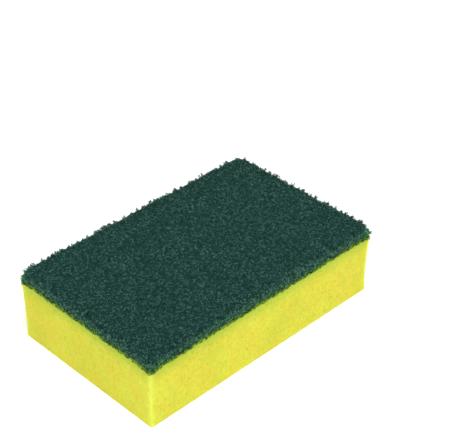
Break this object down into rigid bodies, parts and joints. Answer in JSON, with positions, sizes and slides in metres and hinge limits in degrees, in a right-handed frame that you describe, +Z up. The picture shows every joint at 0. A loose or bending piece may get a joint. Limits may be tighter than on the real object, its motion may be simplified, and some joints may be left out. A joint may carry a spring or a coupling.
{
  "type": "cleaning sponge",
  "caption": "Rectangular scouring sponge: a soft open-cell foam block with a coarse nonwoven fibre pad bonded over its whole top face.",
  "frame": {"origin": "middle of the foam block's base, in the plane it rests on", "axes": "+X along the long side, +Y along the short side, +Z up from the foam towards the fibre pad"},
  "size_m": [0.1514, 0.0964, 0.0404],
  "materials": {
    "foam": "matt open-cell polyurethane foam, cut faces",
    "fibre_pad": "matt nonwoven polyamide fibre web with hardened resin and grit"
  },
  "bodies": {
    "root": {"foam_block": "foam", "scouring_pad": "fibre_pad"}
  },
  "joints": []
}
